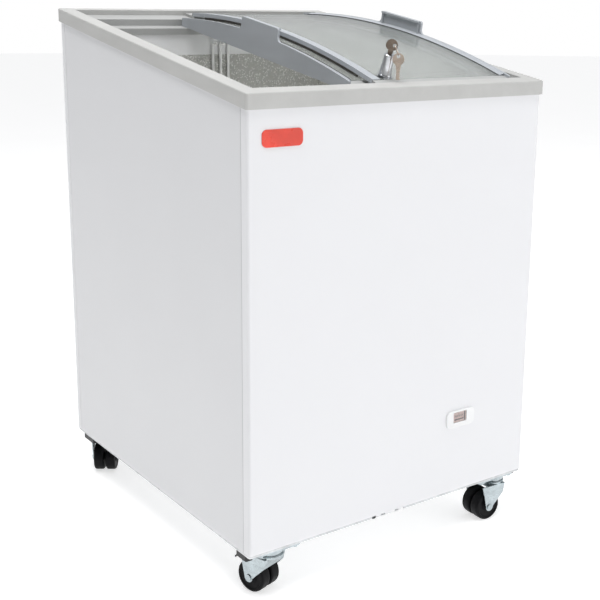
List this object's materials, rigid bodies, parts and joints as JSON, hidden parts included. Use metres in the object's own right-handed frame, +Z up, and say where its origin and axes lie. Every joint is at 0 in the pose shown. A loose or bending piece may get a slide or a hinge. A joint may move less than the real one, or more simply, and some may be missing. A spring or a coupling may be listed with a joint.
{
  "type": "ice cream dipping cabinet",
  "caption": "Top-opening ice cream dipping cabinet with a sloping curved glass top of two sliding lids, a lock, swivel casters and a cold well",
  "frame": {"origin": "on the floor, under the middle of the bounding box", "axes": "+X to the right seen from the front, +Y to the back, +Z up; the front with the badge faces -Y"},
  "size_m": [0.6072, 0.6652, 0.9221],
  "materials": {
    "white_steel": "smooth white powder coat",
    "side_steel": "smooth white powder coat",
    "galvanised": "plain galvanised sheet",
    "rim_grey": "fine-grained warm grey plastic",
    "track_grey": "fine-grained light grey plastic",
    "lid_grey": "satin dark blue-grey plastic",
    "glass": "clear, faintly green tempered glass",
    "white_plastic": "satin white plastic",
    "aluminium": "stucco-embossed aluminium",
    "foam": "cut polyurethane foam",
    "zinc": "zinc-plated pressed steel",
    "black_rubber": "satin black rubber tread",
    "black_plastic": "fine-grained black plastic",
    "copper": "drawn copper tube",
    "black_enamel": "glossy black enamel",
    "chrome": "polished chrome",
    "key_brass": "worn brass and nickel",
    "badge_red": "glossy plain red plastic",
    "dial": "printed scale, pink and white",
    "clear_plastic": "clear moulded plastic",
    "brush": "dark pile brush",
    "white_wire": "white plastic-coated wire"
  },
  "bodies": {
    "cabinet": {"back_panel": "white_steel", "badge_plate": "badge_red", "base_glides": "black_plastic", "base_pan": "galvanised", "breaker_strip": "white_plastic", "caster_plates": "zinc", "compressor": "black_enamel", "compressor_mounts": "black_rubber", "condenser_coil": "aluminium", "cord_gland": "white_plastic", "divider_guides": "white_wire", "drain_bracket": "white_plastic", "drain_plug": "black_plastic", "drain_tube": "white_plastic", "evaporator_coil": "copper", "fan_motor": "black_plastic", "fan_shroud": "galvanised", "fasteners": "zinc", "front_panel": "white_steel", "inner_liner": "aluminium", "insulation_foam": "foam", "left_side_panel": "side_steel", "lid_tracks": "track_grey", "rear_grille": "galvanised", "refrigerant_line": "copper", "right_side_panel": "side_steel", "thermometer_bezel": "white_plastic", "thermometer_dial": "dial", "thermometer_lens": "clear_plastic", "thermostat_box": "black_plastic", "top_frame": "rim_grey"},
    "upper_lid": {"upper_lid_glass": "glass", "upper_lid_cap": "lid_grey", "upper_lid_strip": "track_grey", "upper_lid_runners": "track_grey", "upper_lid_brush": "brush", "lock_housing": "chrome"},
    "lower_lid": {"lower_lid_glass": "glass", "lower_lid_cap": "lid_grey", "lower_lid_strip": "track_grey", "lower_lid_runners": "track_grey"},
    "lock_core": {"lock_cylinder": "chrome", "lock_key": "key_brass"},
    "spare_key": {"spare_key": "key_brass"},
    "fan": {"fan_blade": "black_plastic"},
    "knob": {"thermostat_knob": "black_plastic"},
    "swivel_front_left": {"caster_fork_front_left": "zinc", "caster_axle_front_left": "zinc"},
    "wheel_front_left": {"caster_wheel_front_left": "black_rubber"},
    "brake_front_left": {"brake_lever_front_left": "black_plastic"},
    "swivel_front_right": {"caster_fork_front_right": "zinc", "caster_axle_front_right": "zinc"},
    "wheel_front_right": {"caster_wheel_front_right": "black_rubber"},
    "swivel_rear_left": {"caster_fork_rear_left": "zinc", "caster_axle_rear_left": "zinc"},
    "wheel_rear_left": {"caster_wheel_rear_left": "black_rubber"},
    "swivel_rear_right": {"caster_fork_rear_right": "zinc", "caster_axle_rear_right": "zinc"},
    "wheel_rear_right": {"caster_wheel_rear_right": "black_rubber"}
  },
  "joints": [
    {"name": "upper_lid_slide", "type": "slide", "parent": "cabinet", "child": "upper_lid", "axis": [1, 0, 0], "range_m": [-0.199, 0.024]},
    {"name": "lower_lid_slide", "type": "slide", "parent": "upper_lid", "child": "lower_lid", "axis": [-1, 0, 0], "range_m": [-0.018, 0.199]},
    {"name": "lock_turn", "type": "hinge", "parent": "upper_lid", "child": "lock_core", "pos_m": [-0.01, -0.29253, 0.852], "axis": [0, -0.3297, 0.9441], "range_deg": [0, 90]},
    {"name": "spare_key_swing", "type": "hinge", "parent": "lock_core", "child": "spare_key", "pos_m": [-0.00615, -0.30002, 0.86528], "axis": [-0.5957, -0.8032, 0], "range_deg": [-6, 6]},
    {"name": "fan_spin", "type": "hinge", "parent": "cabinet", "child": "fan", "pos_m": [0.13, 0.273, 0.209], "axis": [0, 1, 0], "continuous": true},
    {"name": "thermostat_turn", "type": "hinge", "parent": "cabinet", "child": "knob", "pos_m": [-0.08, 0.329, 0.294], "axis": [0, 1, 0], "range_deg": [0, 270]},
    {"name": "swivel_front_left", "type": "hinge", "parent": "cabinet", "child": "swivel_front_left", "pos_m": [-0.247, -0.303, 0.072], "axis": [0, 0, 1], "continuous": true},
    {"name": "roll_front_left", "type": "hinge", "parent": "swivel_front_left", "child": "wheel_front_left", "pos_m": [-0.25314, -0.28292, 0.027], "axis": [0.9563, 0.2924, 0], "continuous": true},
    {"name": "brake_front_left", "type": "hinge", "parent": "swivel_front_left", "child": "brake_front_left", "pos_m": [-0.25665, -0.27144, 0.06], "axis": [0.9563, 0.2924, 0], "range_deg": [-18, 0]},
    {"name": "swivel_front_right", "type": "hinge", "parent": "cabinet", "child": "swivel_front_right", "pos_m": [0.247, -0.303, 0.072], "axis": [0, 0, 1], "continuous": true},
    {"name": "roll_front_right", "type": "hinge", "parent": "swivel_front_right", "child": "wheel_front_right", "pos_m": [0.22603, -0.3019, 0.027], "axis": [0.0523, 0.9986, 0], "continuous": true},
    {"name": "swivel_rear_left", "type": "hinge", "parent": "cabinet", "child": "swivel_rear_left", "pos_m": [-0.247, 0.303, 0.072], "axis": [0, 0, 1], "continuous": true},
    {"name": "roll_rear_left", "type": "hinge", "parent": "swivel_rear_left", "child": "wheel_rear_left", "pos_m": [-0.25905, 0.2858, 0.027], "axis": [-0.8192, 0.5736, 0], "continuous": true},
    {"name": "swivel_rear_right", "type": "hinge", "parent": "cabinet", "child": "swivel_rear_right", "pos_m": [0.247, 0.303, 0.072], "axis": [0, 0, 1], "continuous": true},
    {"name": "roll_rear_right", "type": "hinge", "parent": "swivel_rear_right", "child": "wheel_rear_right", "pos_m": [0.2575, 0.28481, 0.027], "axis": [-0.866, -0.5, 0], "continuous": true}
  ]
}
